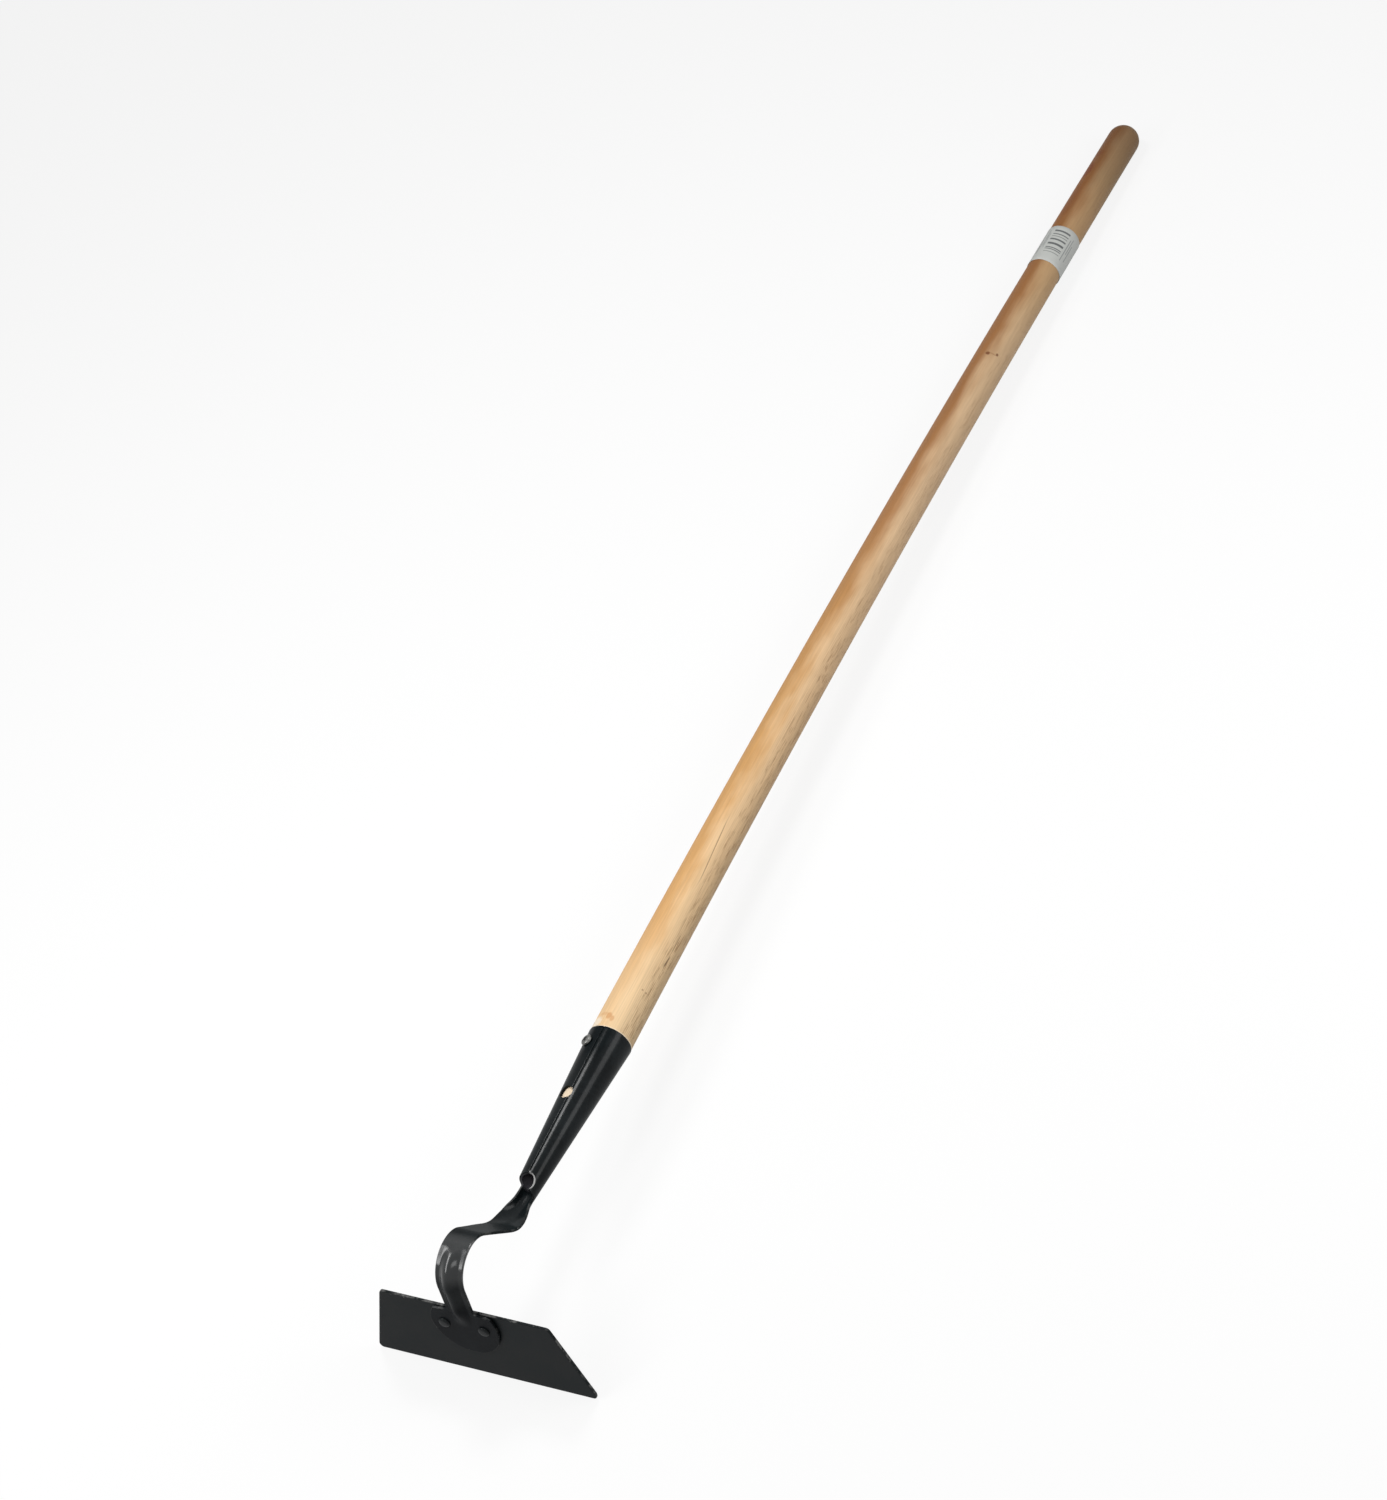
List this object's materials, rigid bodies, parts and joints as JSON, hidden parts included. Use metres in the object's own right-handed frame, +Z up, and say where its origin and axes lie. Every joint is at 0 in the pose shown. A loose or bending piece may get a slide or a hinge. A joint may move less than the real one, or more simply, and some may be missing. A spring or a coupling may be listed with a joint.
{
  "type": "garden hoe",
  "caption": "Draw hoe: turned wooden handle in a rolled sheet-steel socket, curved ridged gooseneck and a trapezoid blade riveted to its round foot",
  "frame": {"origin": "middle of the bounding box, on the floor that the cutting edge and the grip lie on", "axes": "+X along the handle towards the grip, +Y across the blade, +Z up"},
  "size_m": [1.3262, 0.1724, 0.1092],
  "materials": {
    "black_paint": "semi-gloss black paint on sheet steel",
    "zinc_plated_steel": "dull zinc plating",
    "ash_wood": "turned and sanded, thin varnish",
    "white_paper": "smooth label paper"
  },
  "bodies": {
    "root": {"blade": "black_paint", "socket_and_neck": "black_paint", "rivet_left": "black_paint", "rivet_right": "black_paint", "socket_screw": "zinc_plated_steel", "handle": "ash_wood", "label_band": "white_paper"}
  },
  "joints": []
}
